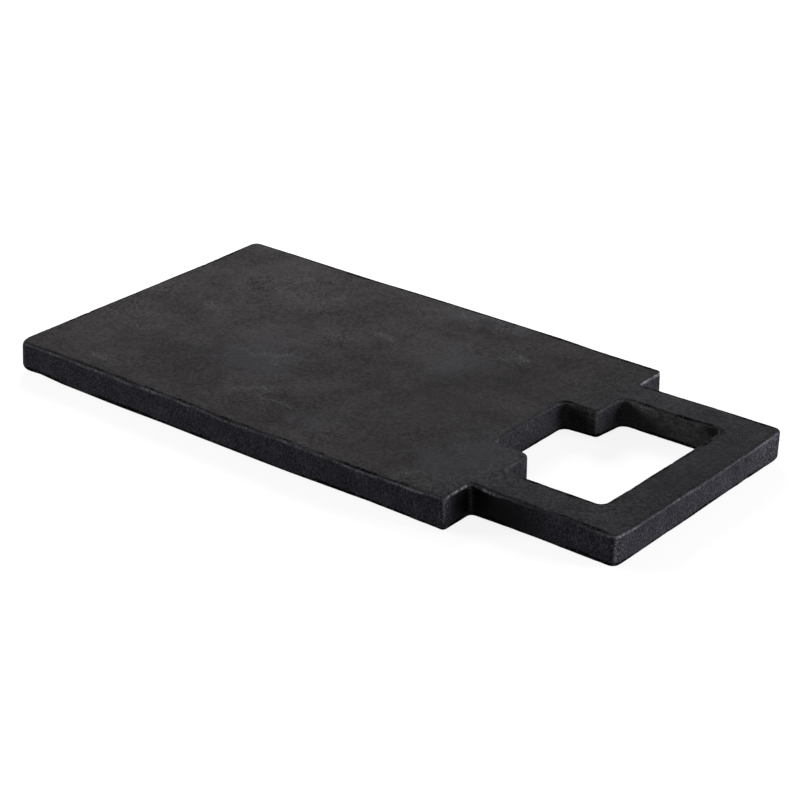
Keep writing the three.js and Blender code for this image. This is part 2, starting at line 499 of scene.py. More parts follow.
def moved_along(x, y, upward, to_near, far_tab):
    """x plus what the cuts across the board strayed: the plain end, the end bar, the notch and the handle's
    end each move by their marks times a fade. Bell shapes lean the near step and pull the far tab back."""
    to_plain = 1 - smooth_step(x - plain_end, *PLAIN_FADE)
    to_notch, past_tab = smooth_step(x, *NOTCH_FADE), smooth_step(x, *TAB_FADE)
    to_bar, to_end = smooth_step(x, *BAR_FADE), smooth_step(x, *END_FADE)
    end = between_edges(HANDLE_END_BOTTOM, HANDLE_END_TOP, y, upward)
    moved = x + inside_line(PLAIN_END, y) * to_plain + inside_line(BAR_INSIDE, y) * to_bar * (1 - to_end)
    moved = moved - inside_line(NOTCH_END, y) * to_notch * (1 - past_tab) - end * to_end
    lean = STEP_LEAN * upward * np.exp(-(((x - blade_end) / LEAN_REACH) ** 4))
    lean = lean * to_near * (1 - LEAN_LOST * smooth_step(-y, HANDLE_WIDTH / 2, -near_side))
    return moved - TAB_BACK * (1 - BACK_LOST * upward) * far_tab - lean


def strayed(grid):
    """The grid with each point moved along and across the board, and its height kept. The far tab is a bell
    shape of the distance d from its corner, e to the power of -(d / reach) squared."""
    x, y, z = np.moveaxis(grid, -1, 0)
    upward = (z - slab_low.z) / (slab_high.z - slab_low.z)
    to_near = smooth_step(-y, *RAIL_FADE)
    far_tab = np.exp(-((x - grip_start) ** 2 + (y - NOTCH_WIDTH / 2) ** 2) / TAB_REACH ** 2)
    here = (x, y, upward, to_near, far_tab)
    return np.stack([moved_along(*here), moved_across(*here), z], axis=-1)


true_grid = slab_grid
slab_grid = strayed(true_grid)
print(f"points moved by up to {np.abs(slab_grid - true_grid).max() / MM:.1f} mm")

# %% [markdown]
# ## Where the board is handled
# Hands, cloths and hooks rub some edges more than others. The two steps beside the handle and the handle's
# end are worn pale, and that pale line is partly a painted highlight where the edges face the lamps, most of
# all on the far step. The long sides keep a dark, freshly eased line. The upright corners have lost some of
# their colour too, again partly as a painted highlight, and the edges of the underside get a dark line of
# painted shade. Wear with its painted highlight, and the dark line, are two numbers along the outline, set at
# a few marked places and carried over to the far side like the outline itself. Edges that face the far side
# or the plain end kept their line best, so it is darker and a little wider there. The long walls of the
# opening also get a number of their own, because they kept the pale marks of the saw.

# %% Mark the worn and highlit stretches
# The far step faces the lamp while the near one lies in shade, so its corners get a stronger pale line as a
# painted highlight.
FAR_STEP_HIGHLIGHT = {5: 2.0, 6: 1.5}  # corners of the far step, and how much more painted highlight they get
FAR_STEP_HIGHLIGHT_REACH = 14 * MM


def marked(run, outline, near_marks):
    """Value along an outline from marks on the near side, mirrored to the far side and joined by straight
    lines. A mark is a corner's number, a share of its arc, a distance past that in mm, and the value."""
    near = [arc_run(outline, corner, share) + past * MM for corner, share, past, _ in near_marks]
    distance, value = np.array(near), np.array(near_marks)[:, -1]
    distance = np.concatenate([distance, outline["run"][-1] - distance])
    return np.interp(run, distance, np.concatenate([value, value]), period=outline["length"])


# The pale line that these marks set is partly wear and partly a painted highlight on edges that face the
# lamps.
slab_wear_and_highlight = marked(slab_run, slab_outline, [
    (0, 0.5, 0, 0.55), (0, 1, 40, 0.48), (1, 0, -40, 0.48), (1, 0.5, 0, 0.72), (2, 0.5, 0, 0.85),
    (2, 1, 35, 0.15), (2, 1, 55, 0.08), (3, 0, -10, 0.15), (3, 0.5, 0, 0.70), (3, 1, 15, 0.45),
])
slab_wear_and_highlight = slab_wear_and_highlight * (1 + beside_corners(slab_run, slab_outline, FAR_STEP_HIGHLIGHT, FAR_STEP_HIGHLIGHT_REACH))
slab_line = marked(slab_run, slab_outline, [
    (0, 0.5, 0, 0.40), (0, 1, 60, 0.70), (1, 0, -160, 0.95), (1, 0, -30, 0.95), (1, 0, 0, 0.45),
    (2, 0.5, 0, 0.00), (2, 1, 25, 0.65), (3, 0, -10, 1.20), (3, 0.5, 0, 0.20), (3, 1, 40, 0.45),
])
opening_wear = marked(opening_run, opening_outline, [
    (0, 0.5, 0, 0.12), (0, 1, 0, 0.15), (1, 0.5, 0, 0.16), (2, 0, 0, 0.10), (3, 0, 0, 0.10), (3, 1, 0, 0.30),
])
opening_line = marked(opening_run, opening_outline, [
    (0, 0, 0, 0.30), (0, 1, 0, 1.20), (1, 0.5, 0, 0.30), (2, 0, 0, 0.10), (2, 1, 10, 1.20), (3, 0, 0, 1.50),
    (3, 1, 5, 0.10),
])
print(f"wear up to {slab_wear_and_highlight.max():.2f} round the slab and {opening_wear.max():.2f} round the opening")

# %% [markdown]
# Those values belong to the edges. Each point of the grid now takes the value of its own section, from the
# slab's edge or from the opening's, whichever is nearer.

# %% Spread the marks over the slab
CROSS_SAWN = 0.15  # share of the saw's marks on the walls across the board
DARK_LINE = 0.8  # added to the line of the edges that kept it best
LINE_WIDENED = 0.35  # share by which distances from those edges shrink on the top, to widen the line
# Along the underside the black line is painted shade under the lower edge.
UNDER_SHADE_LINE = 2.2 * MM  # the black line along the underside reaches this much further up the wall
UNDER_SHADE_STRENGTH = 1.8
NEAR_NOTCH = {0: 1.0, 1: 1.0, 2: 1.0}  # corners of the opening that have lost their line
NEAR_NOTCH_REACH = 18 * MM
OUTER_CORNERS = {0: 0.7, 1: 0.6, 2: 0.8, 3: 1.0, 4: 1.0, 5: 0.8, 6: 1.0, 7: 0.7}  # and their wear and painted highlight
TAB_CORNERS = {1: 0.8, 6: 0.8}
UPRIGHT_WIDTH = 1.1 * MM


def kept_dark(side):
    """1 where an edge faces the far side or the plain end, falling to 0 as it turns to the others."""
    out_x, out_y = -outlines[side][1].T
    return np.clip(np.maximum(out_y, -out_x), 0, 1)


line_lost = beside_corners(opening_run, opening_outline, NEAR_NOTCH, NEAR_NOTCH_REACH)
slab_upright = beside_corners(slab_run, slab_outline, OUTER_CORNERS, UPRIGHT_WIDTH)
opening_upright = beside_corners(opening_run, opening_outline, TAB_CORNERS, UPRIGHT_WIDTH)
underneath = slab_grid[..., 2] < (slab_low.z + slab_high.z) / 2
# The wear number carries the pale line, which is partly a painted highlight.
wear_and_highlight = np.where(underneath, 0, np.where(in_opening, opening_wear, slab_wear_and_highlight))
dark = np.where(in_opening, kept_dark("opening"), kept_dark("slab"))
line = np.where(in_opening, opening_line, slab_line) + DARK_LINE * dark
# Points of the underside get the dark line of painted shade at a set strength.
line = np.where(underneath, UNDER_SHADE_STRENGTH, line * np.where(in_opening, 1 - line_lost, 1))
upright = np.where(in_opening, opening_upright, slab_upright)
sawn = in_opening * (CROSS_SAWN + (1 - CROSS_SAWN) * np.abs(outlines["opening"][1][:, 1]))
print(f"{np.mean(wear_and_highlight > 0.5):.1%} of the points are well worn, {np.mean(sawn > 0.5):.1%} show the saw")

# %% [markdown]
# The grid now becomes a mesh that stands for the slab's solid and rides with it. Its points carry their
# distance from the edge, their wear and the rest as numbers. They could also be painted on by hand as vertex
# colours, but numbers that come with the shape stay right when a size changes.

# %% Put the slab into a mesh


def grid_quads(rows, columns):
    """Corner numbers of the quads of a grid that closes on itself both ways."""
    index = np.arange(rows * columns).reshape(rows, columns)
    beside = np.roll(index, -1, axis=1)
    above = np.roll(index, -1, axis=0)
    across = np.roll(above, -1, axis=1)
    return np.stack([index, beside, across, above], axis=-1).reshape(-1, 4)


def add_piece(name, points, faces, node):
    """Makes a smooth mesh object at the origin, which stands for a solid of the frame and rides with it."""
    mesh = bpy.data.meshes.new(name)
    mesh.from_pydata(points.reshape(-1, 3).tolist(), [], faces)
    mesh.polygons.foreach_set("use_smooth", np.ones(len(mesh.polygons), dtype=bool))
    mesh.update()
    piece = bpy.data.objects.new(name, mesh)
    bpy.context.scene.collection.objects.link(piece)
    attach(piece, "root")
    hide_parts(node)
    return piece


slab = add_piece("slab", slab_grid, grid_quads(*slab_grid.shape[:2]).tolist(), "marble_slab")
past_easing = np.minimum(slab_rim + EASED_EDGE, 0)
from_edge = (slab_rim - LINE_WIDENED * dark * past_easing - UNDER_SHADE_LINE * underneath) / MM
carried = {"rim": from_edge, "wear_and_highlight": wear_and_highlight, "line": line, "upright": upright, "sawn": sawn}
for name, values in carried.items():
    layer = slab.data.attributes.new(name, "FLOAT", "POINT")
    layer.data.foreach_set("value", values.astype(np.float32).ravel())
print(f"{slab.name}: {len(slab.data.polygons)} faces")

# %% [markdown]
# ## Feet and their adhesive
# The feet are low bumpers of moulded rubber, a little narrower at the sole than at the top, and each is held
# by a thin die-cut disc of adhesive. Both are turned shapes. A cylinder would do for size, but a profile
# carried round an axis also gives the soft rim that moulded rubber has. Each is as large as its solid in the
# frame and stands in the same place.

# %% Turn the feet and the discs
SOLE_DIAMETER = 10.6 * MM
SOLE_ROUNDING = 0.5 * MM
TOP_ROUNDING = 0.2 * MM
FOOT_SIDES = 72
ROUNDING_STEPS = 7
SOLE_RINGS = (0.3, 0.6, 0.85)  # rings across the flat faces, as shares of the radius
TOP_RINGS = (0.9, 0.5, 0.2)
DISC_RINGS = (0.3, 0.8)


def rounding(radius, height, size, start):
    """Quarter circle in a profile, from one direction to the next a quarter turn on: its centre lies at this
    radius and height, and its points at centre + size (cos t, sin t)."""
    turn = start + np.linspace(0, np.pi / 2, ROUNDING_STEPS)
    return np.stack([radius + size * np.cos(turn), height + size * np.sin(turn)], axis=-1)


def turned(profile, centre):
    """Points and faces of a profile carried round an upright axis: radius r and height z become
    (r cos t, r sin t, z). One point on the axis closes each end with a fan."""
    turn = np.linspace(0, 2 * np.pi, FOOT_SIDES, endpoint=False)
    radius, height = profile[:, :1], profile[:, 1:]
    ring = np.dstack([radius * np.cos(turn), radius * np.sin(turn), height + 0 * turn])
    ends = np.array([(0, 0, profile[0, 1]), (0, 0, profile[-1, 1])])
    points = np.vstack([ring.reshape(-1, 3), ends]) + (centre.x, centre.y, 0)
    quads = grid_quads(len(profile), FOOT_SIDES)[: (len(profile) - 1) * FOOT_SIDES]
    edge = np.arange(FOOT_SIDES)
    following = np.roll(edge, -1)
    last = (len(profile) - 1) * FOOT_SIDES
    low_fan = np.stack([following, edge, np.full_like(edge, len(points) - 2)], axis=-1)
    high_fan = np.stack([last + edge, last + following, np.full_like(edge, len(points) - 1)], axis=-1)
    return points, quads.tolist() + low_fan.tolist() + high_fan.tolist()


def foot_profile(low, high):
    """Sole, rounded rim, tapered side and slightly softened top of a foot, as radius and height."""
    sole, top = SOLE_DIAMETER / 2, (high.x - low.x) / 2
    return np.vstack([
        [(sole * share, low.z) for share in SOLE_RINGS],
        rounding(sole - SOLE_ROUNDING, low.z + SOLE_ROUNDING, SOLE_ROUNDING, -np.pi / 2),
        [(sole + 0.5 * (top - sole), 0.5 * (low.z + SOLE_ROUNDING + high.z - TOP_ROUNDING))],  # halfway
        rounding(top - TOP_ROUNDING, high.z - TOP_ROUNDING, TOP_ROUNDING, 0),
        [(top * share, high.z) for share in TOP_RINGS],
    ])


def disc_profile(low, high):
    """A flat disc whose side bulges by half its thickness, as squeezed adhesive does."""
    radius, thickness = (high.x - low.x) / 2, high.z - low.z
    bulge = np.linspace(-np.pi / 2, np.pi / 2, 2 * ROUNDING_STEPS)
    side = np.stack([np.cos(bulge) - 1, np.sin(bulge)], axis=-1) * thickness / 2
    return np.vstack([
        [(radius * share, low.z) for share in DISC_RINGS],
        side + (radius, (low.z + high.z) / 2),
        [(radius * share, high.z) for share in DISC_RINGS[::-1]],
    ])


feet, discs = [], []
for node in sorted(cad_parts):
    part, _, corner = node.partition("_")
    if part not in ("foot", "adhesive"):
        continue
    low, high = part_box(node)
    profile = foot_profile(low, high) if part == "foot" else disc_profile(low, high)
    points, faces = turned(profile, (low + high) / 2)
    name = f"rubber_foot_{corner}" if part == "foot" else f"adhesive_disc_{corner}"
    piece = add_piece(name, points, faces, node)
    (feet if part == "foot" else discs).append(piece)
print("turned:", ", ".join(piece.name for piece in feet + discs))

# %% [markdown]
# ## Shader helpers and shared effects
# Every finish below is drawn by nodes, so it has no picture that could blur or repeat. A few helpers keep
# the node trees short: one adds a node and wires it, the others do sums, ramps and colour mixes. Dragging the
# same wires in the node editor gives the same finish, but a script can be read and changed.

# %% Wire nodes with few words


def add_node(tree, kind, inputs=(), **settings):
    """Adds a node, sets its options, and gives each input a value or a link from another node's output."""
    made = tree.nodes.new(kind)
    for option, value in settings.items():
        setattr(made, option, value)
    for socket, value in dict(inputs).items():
        if isinstance(value, bpy.types.NodeSocket):
            tree.links.new(value, made.inputs[socket])
        else:
            made.inputs[socket].default_value = value
    return made


def math_of(tree, operation, first, second=0.0):
    """One sum on two values."""
    return add_node(tree, "ShaderNodeMath", {0: first, 1: second}, operation=operation).outputs[0]


def product(tree, *values):
    """All the values multiplied together."""
    result = values[0]
    for value in values[1:]:
        result = math_of(tree, "MULTIPLY", result, value)
    return result


def vector_of(tree, operation, first, second):
    """One sum on two vectors."""
    return add_node(tree, "ShaderNodeVectorMath", {0: first, 1: second}, operation=operation).outputs[0]


def ramp(tree, value, start, stop, low=0.0, high=1.0):
    """Smooth step of a value: low before start, high after stop."""
    inputs = {"Value": value, "From Min": start, "From Max": stop, "To Min": low, "To Max": high}
    return add_node(tree, "ShaderNodeMapRange", inputs, interpolation_type="SMOOTHSTEP").outputs["Result"]


def mix_colours(tree, share, first, second, blend="MIX"):
    """One colour going over to another, or multiplied by it, as the share goes from 0 to 1."""
    inputs = {0: share, 6: first, 7: second}
    return add_node(tree, "ShaderNodeMix", inputs, data_type="RGBA", blend_type=blend).outputs[2]


def noise(tree, place, scale, detail=3.0, roughness=0.5, distortion=0.0):
    """Cloudy random value at a place, about 0.5 on average, with this many features to the metre."""
    inputs = {"Vector": place, "Scale": scale, "Detail": detail}
    inputs |= {"Roughness": roughness, "Distortion": distortion}
    return add_node(tree, "ShaderNodeTexNoise", inputs).outputs["Fac"]


def new_group(name, inputs, outputs):
    """A shader node group with these named sockets, as the tree and its two end nodes."""
    tree = bpy.data.node_groups.new(name, "ShaderNodeTree")
    for socket, kind in inputs.items():
        tree.interface.new_socket(socket, in_out="INPUT", socket_type=kind)
    for socket in outputs:
        tree.interface.new_socket(socket, in_out="OUTPUT", socket_type="NodeSocketFloat")
    return tree, tree.nodes.new("NodeGroupInput"), tree.nodes.new("NodeGroupOutput")


def use_group(tree, group, **inputs):
    """Places a node group in a material with its own values."""
    return add_node(tree, "ShaderNodeGroup", inputs, node_tree=group).outputs


def new_material(name, refraction):
    """A material with one Principled shader, and the Object coordinates that its patterns read. A low
    refractive index stands for a dull surface, which mirrors little even at a shallow angle."""
    material = bpy.data.materials.new(name)
    material.use_nodes = True
    tree = material.node_tree
    shader = tree.nodes["Principled BSDF"]
    shader.inputs["IOR"].default_value = refraction
    place = add_node(tree, "ShaderNodeTexCoord").outputs["Object"]
    return material, tree, shader, place


def bumped(tree, shader, height, distance, strength):
    """Feeds a height to the shader's normal."""
    bump = add_node(tree, "ShaderNodeBump", {"Height": height, "Distance": distance, "Strength": strength})
    tree.links.new(bump.outputs["Normal"], shader.inputs["Normal"])


print("node helpers:", ", ".join(helper.__name__ for helper in (math_of, product, ramp, mix_colours, noise)))

# %% [markdown]
# Fine grain, soft clouds and soft oval spots are needed again and again, in stone, rubber and film. They
# could be copied from one material to the next, but a node group is built once and each use of it only sets
# its own values.

# %% Build the shared groups
FINER = 3.3  # the fine part of the grain has this many times as many features
BROADER = 0.5  # and the patches among the clouds this share of them
PLACE_AND_SCALE = {"Place": "NodeSocketVector", "Scale": "NodeSocketFloat"}

grain_group, ins, outs = new_group("fine_grain", PLACE_AND_SCALE, ["Height", "Mottle", "Specks"])
coarse = noise(grain_group, ins.outputs["Place"], ins.outputs["Scale"], 3, 0.6)
fine_scale = math_of(grain_group, "MULTIPLY", ins.outputs["Scale"], FINER)
fine = noise(grain_group, ins.outputs["Place"], fine_scale, 2, 0.6)
height = math_of(grain_group, "MULTIPLY", math_of(grain_group, "ADD", coarse, fine), 0.5)
grain_group.links.new(height, outs.inputs["Height"])
grain_group.links.new(ramp(grain_group, coarse, 0.36, 0.64), outs.inputs["Mottle"])
grain_group.links.new(ramp(grain_group, coarse, 0.58, 0.68), outs.inputs["Specks"])

cloud_group, ins, outs = new_group("soft_clouds", PLACE_AND_SCALE, ["Cloud", "Patches"])
cloud = noise(cloud_group, ins.outputs["Place"], ins.outputs["Scale"], 8, 0.68, 0.3)
patch_scale = math_of(cloud_group, "MULTIPLY", ins.outputs["Scale"], BROADER)
patches = noise(cloud_group, ins.outputs["Place"], patch_scale, 6, 0.6, 0.5)
cloud_group.links.new(ramp(cloud_group, cloud, 0.25, 0.75), outs.inputs["Cloud"])
cloud_group.links.new(ramp(cloud_group, patches, 0.52, 0.68), outs.inputs["Patches"])

SPOT_INPUTS = {"Place": "NodeSocketVector", "Centre": "NodeSocketVector", "Reach": "NodeSocketVector"}

spot_group, ins, outs = new_group("soft_spot", SPOT_INPUTS, ["Mask"])
offset = vector_of(spot_group, "SUBTRACT", ins.outputs["Place"], ins.outputs["Centre"])
shrunk = vector_of(spot_group, "DIVIDE", offset, ins.outputs["Reach"])
from_centre = add_node(spot_group, "ShaderNodeVectorMath", {0: shrunk}, operation="LENGTH").outputs["Value"]
spot_group.links.new(ramp(spot_group, from_centre, 0.2, 1.0, 1.0, 0.0), outs.inputs["Mask"])
print("node groups:", ", ".join(group.name for group in bpy.data.node_groups))

# %% [markdown]
# ## Honed black marble
# Honing leaves a dull satin face. There the stone is a warm charcoal with soft clouds and fine grain. Bluish
# smudges, darker spots and scuffs of pale flecks lie where the board has been used, and some of the darker
# spots are painted shade, so each of these is an oval with a place and a size, and noise frays its outline.
# The walls are darker and finely granular, and those of the opening are rougher and greyer than the outer
# ones.
# Along each edge the easing shows as a ragged black line, with a thin paler line below it that is partly worn
# and partly a painted highlight. All of that is one material: the distance from the edge decides how much of
# each part shows.

# %% Start the stone
marble, tree, shader, place = new_material("honed_black_marble", 1.10)
clouds = use_group(tree, cloud_group, Place=place, Scale=24.0)
grain = use_group(tree, grain_group, Place=place, Scale=520.0)
ragged = noise(tree, place, 1100.0, 2, 0.5)
uneven = noise(tree, place, 55.0, 2, 0.5)
beads = noise(tree, place, 450.0, 3, 0.6)


def attribute(name):
    """A number that each point of the slab carries."""
    return add_node(tree, "ShaderNodeAttribute", attribute_name=name).outputs["Fac"]


def stretched(x, y, z):
    """The place with each axis multiplied by a number: below 1, it draws a pattern out along that axis."""
    return vector_of(tree, "MULTIPLY", place, (x, y, z))


print(f"{marble.name}: {len(tree.nodes)} nodes to begin with")

# %% [markdown]
# Use has left its marks: greasy smudges, darker spots, and scuffs where dishes were dragged. Some of the
# darker spots are painted shade: two broad ones on the top toward the handle, where less light falls, and two
# on the walls by the handle's inner corner. The marks could be painted into a picture, but an oval with a
# place and a size in mm is easy to move and stays sharp from near by. Noise shifts the place that each oval
# is read from, so its outline frays.

# %% Place the smudges, spots and scuffs
FRAYING = 50 * MM
WALL_FRAYING = 14 * MM
# Each oval is x, y, half its length and half its width in mm. On a wall its height and half of that follow.
SMUDGES = [(-88, -35, 42, 38), (0, -84, 22, 16), (104, -62, 34, 48), (20, 38, 26, 34), (-8, 106, 40, 14)]
# The last two spots are painted shade: broad darkening of the top toward the handle and over the end bar,
# where less light falls.
SPOTS_AND_SHADE = [
    (-12, 82, 26, 16), (44, 80, 26, 20), (50, -42, 32, 26), (-118, -42, 12, 12),
    (-102, 30, 18, 18), (-160, -60, 40, 22), (52, 5, 68, 170), (218, 0, 26, 110),
]
SCUFFS = [
    (-45, -76, 46, 8), (42, 66, 18, 10), (-48, 44, 14, 9), (-168, 10, 13, 9),
    (90, -100, 9, 10), (-165, -98, 18, 7), (-85, -27, 24, 7), (0, 108, 40, 7),
]
# The first two wall spots are painted shade on the near rail and the near step beside the handle's inner
# corner, which lie in shadow; the other two are darker spots on the far walls of the opening.
WALL_SPOTS_AND_SHADE = [
    (142, -90, 54, 20, 12, 40), (127, -96, 24, 18, 12, 40),
    (116, 39, 10, 8, 12, 40), (196, 64, 15, 9, 20, 13),
]
WALL_SCUFFS = [
    (228, 80, 12, 36, 12, 22), (228, -88, 8, 9, 10, 20), (126, -114, 8, 9, 10, 20),
    (118, 37, 11, 6, 9, 22), (138, 63, 22, 10, 11, 34),
]

shift = add_node(tree, "ShaderNodeTexNoise", {"Vector": place, "Scale": 60.0, "Detail": 4.0}).outputs["Color"]
shift = vector_of(tree, "SUBTRACT", shift, (0.5, 0.5, 0.5))
frayed = vector_of(tree, "ADD", place, vector_of(tree, "MULTIPLY", shift, (FRAYING, FRAYING, 0)))
wall_frayed = vector_of(tree, "ADD", place, vector_of(tree, "MULTIPLY", shift, (WALL_FRAYING,) * 3))


def oval(around, x, y, half_length, half_width, z=slab_high.z / MM, half_height=10):
    """Mask of one soft oval, in mm: its middle, its half lengths along and across the board, and for a mark
    on a wall also its height and half its height."""
    centre = tuple(v * MM for v in (x, y, z))
    reach = tuple(v * MM for v in (half_length, half_width, half_height))
    return use_group(tree, spot_group, Place=around, Centre=centre, Reach=reach)["Mask"]


def ovals(around, marks):
    """Highest mask of several soft ovals, round frayed places."""
    highest = 0.0
    for mark in marks:
        highest = math_of(tree, "MAXIMUM", oval(around, *mark), highest)
    return highest


smudged, spots_and_shade, scuffed = (ovals(frayed, marks) for marks in (SMUDGES, SPOTS_AND_SHADE, SCUFFS))
wall_spots_and_shade, wall_scuffed = (ovals(wall_frayed, marks) for marks in (WALL_SPOTS_AND_SHADE, WALL_SCUFFS))
counts = len(SMUDGES), len(SPOTS_AND_SHADE + WALL_SPOTS_AND_SHADE), len(SCUFFS + WALL_SCUFFS)
print("%d smudges, %d darker spots and %d scuffs" % counts)

# %% [markdown]
# The honed top goes from a dark to a lighter charcoal with its clouds and grain. The marks are laid over it
# one by one: dark spots, of which the two broad ones are painted shade toward the handle, bluish smudges, a
# cooler and slightly lighter tint toward the handle, and last the pale flecks of the scuffs. One large ramp
# could give all colours, but then no mark could be changed alone.

# %% Colour its top
TOP_DARK = (0.0092, 0.0083, 0.0088, 1)
TOP_LIGHT = (0.0376, 0.0346, 0.0359, 1)
SMUDGE = (0.0312, 0.0305, 0.0365, 1)
FLECK = (0.1000, 0.1000, 0.0990, 1)
HANDLE_TINT = (0.99, 1.065, 1.13, 1)
CLOUD_SHARE = 0.42
LEAST_LIGHT = 0.29
SPOT_AND_SHADE_STRENGTH = 0.35
HANDLE_TINT_FROM = blade_end - 50 * MM
HANDLE_TINT_FULL = grip_start + 30 * MM

grainy = ramp(tree, clouds["Patches"], 0.0, 1.0, 0.55, 1.0)
grain_part = product(tree, math_of(tree, "SUBTRACT", grain["Mottle"], 0.5), grainy)
cloud_part = product(tree, clouds["Cloud"], CLOUD_SHARE)
mottling = math_of(tree, "ADD", math_of(tree, "ADD", cloud_part, grain_part), LEAST_LIGHT)
top = mix_colours(tree, mottling, TOP_DARK, TOP_LIGHT)
# Spots darken the top, the two broad ones as painted shade.
top = mix_colours(tree, product(tree, spots_and_shade, SPOT_AND_SHADE_STRENGTH), top, TOP_DARK)
top = mix_colours(tree, product(tree, smudged, ramp(tree, uneven, 0.3, 0.7, 0.2, 0.75)), top, SMUDGE)
# The top goes a little cooler and lighter toward the handle.
length_wise = add_node(tree, "ShaderNodeSeparateXYZ", {0: place}).outputs["X"]
toward_handle = ramp(tree, length_wise, HANDLE_TINT_FROM, HANDLE_TINT_FULL)
top = mix_colours(tree, toward_handle, top, HANDLE_TINT, "MULTIPLY")
rubbed = use_group(tree, grain_group, Place=stretched(0.6, 1, 1), Scale=900.0)
fleck_field = ramp(tree, noise(tree, place, 30.0, 3, 0.6), 0.48, 0.68, 0.04, 0.35)
scuffs = product(tree, scuffed, ramp(tree, rubbed["Height"], 0.50, 0.62, 0.0, 0.9))
flecks = math_of(tree, "MAXIMUM", scuffs, product(tree, rubbed["Specks"], fleck_field))
top = mix_colours(tree, flecks, top, FLECK)
print(len(tree.nodes), "nodes with its top")

# %% [markdown]
# The outer walls were rubbed down after sawing and are nearly black with a fine grain. The long walls of the
# opening are hard to reach, so the pale streaks of the saw are still there. Two materials would meet in a
# hard line, so both finishes are mixed by the number that each point carries.

# %% Colour its walls
WALL_DARK = (0.0020, 0.0019, 0.0036, 1)
WALL_LIGHT = (0.0408, 0.0393, 0.0492, 1)
SAWN_DARK = (0.0060, 0.0059, 0.0063, 1)
SAWN_LIGHT = (0.0620, 0.0610, 0.0640, 1)
WALL_BLACK = (0.0010, 0.0010, 0.0014, 1)
WALL_BLUE = (0.0125, 0.0120, 0.0205, 1)
WALL_FLECK = (0.1900, 0.1900, 0.2020, 1)
WALL_GRAIN_SHARE = 0.7
WALL_CLOUD_SHARE = 0.35
WALL_CONTRAST = 1.5
BLUE_STRENGTH = 0.35
SAW_SHARE = 0.4
GRIP_WALL_PATCH = (136, 63, 24, 12, 12, 40)  # an oval on the far wall of the grip
GRIP_WALL_PATCH_STRENGTH = 0.4
WALL_SPOT_AND_SHADE_STRENGTH = 0.92
WALL_SCUFF_STRENGTH = 0.7
LONE_FLECKS = 0.07

upright_grain = use_group(tree, grain_group, Place=stretched(1, 1, 0.6), Scale=1200.0)
wall_clouds = use_group(tree, cloud_group, Place=place, Scale=70.0)
wall_cloud = product(tree, wall_clouds["Cloud"], WALL_CLOUD_SHARE)
wall_grain = product(tree, upright_grain["Mottle"], WALL_GRAIN_SHARE)
wall_share = math_of(tree, "ADD", wall_grain, wall_cloud)
outer_wall = mix_colours(tree, math_of(tree, "POWER", wall_share, WALL_CONTRAST), WALL_DARK, WALL_LIGHT)
blue_patches = product(tree, wall_clouds["Patches"], BLUE_STRENGTH)
outer_wall = mix_colours(tree, blue_patches, outer_wall, WALL_BLUE)
saw_marks = use_group(tree, grain_group, Place=stretched(0.35, 0.35, 1.2), Scale=420.0)
rubbed_part = product(tree, wall_share, 1 - SAW_SHARE)
sawn_share = math_of(tree, "ADD", rubbed_part, product(tree, saw_marks["Mottle"], SAW_SHARE))
# A lighter oval on the far wall of the grip, beside the tab.
grip_wall_patch = product(tree, oval(wall_frayed, *GRIP_WALL_PATCH), GRIP_WALL_PATCH_STRENGTH)
sawn_share = math_of(tree, "ADD", sawn_share, grip_wall_patch)
sawn_wall = mix_colours(tree, sawn_share, SAWN_DARK, SAWN_LIGHT)
wall = mix_colours(tree, attribute("sawn"), outer_wall, sawn_wall)
# Wall spots go toward black: painted shade by the handle's inner corner, and two darker spots in the opening.
wall = mix_colours(tree, product(tree, wall_spots_and_shade, WALL_SPOT_AND_SHADE_STRENGTH), wall, WALL_BLACK)
wall_scuff = product(tree, wall_scuffed, WALL_SCUFF_STRENGTH)
wall_fleck_share = math_of(tree, "MAXIMUM", wall_scuff, LONE_FLECKS)
wall_flecks = product(tree, wall_fleck_share, upright_grain["Specks"])
wall = mix_colours(tree, wall_flecks, wall, WALL_FLECK)
print(len(tree.nodes), "nodes with its walls")

# %% [markdown]
# Where the top turns over into a wall, the stone shows a black line and a pale one below it, which is partly
# worn and partly a painted highlight, as on the upright corners. Strips of faces could carry them, but they
# would look ruled. The distance from the edge, torn by noise, gives lines that fray and break off as they do
# on stone.

# %% Wear its edges and paint their highlights
EDGE_BLACK = (0.0010, 0.0010, 0.0014, 1)
EDGE_WORN_AND_HIGHLIT = (0.1400, 0.1380, 0.1580, 1)
RAGGEDNESS = 2.4  # mm of shift for the noise's whole range
WAVERING = 4.0  # the same for a slower noise

rim = attribute("rim")
wavering = noise(tree, place, 30.0, 1)
torn = math_of(tree, "ADD", rim, product(tree, math_of(tree, "SUBTRACT", ragged, 0.5), RAGGEDNESS))
torn = math_of(tree, "ADD", torn, product(tree, math_of(tree, "SUBTRACT", wavering, 0.5), WAVERING))
stone = mix_colours(tree, ramp(tree, torn, -0.4, 0.4), top, wall)
stretches = ramp(tree, uneven, 0.35, 0.60, 0.35, 1.1)
black = product(
    tree,
    ramp(tree, torn, -2.5, -2.0),
    ramp(tree, torn, -0.3, 0.1, 1.0, 0.0),
    ramp(tree, beads, 0.38, 0.54, 0.25, 1.0),
    stretches,
    attribute("line"),
)
stone = mix_colours(tree, black, stone, EDGE_BLACK)
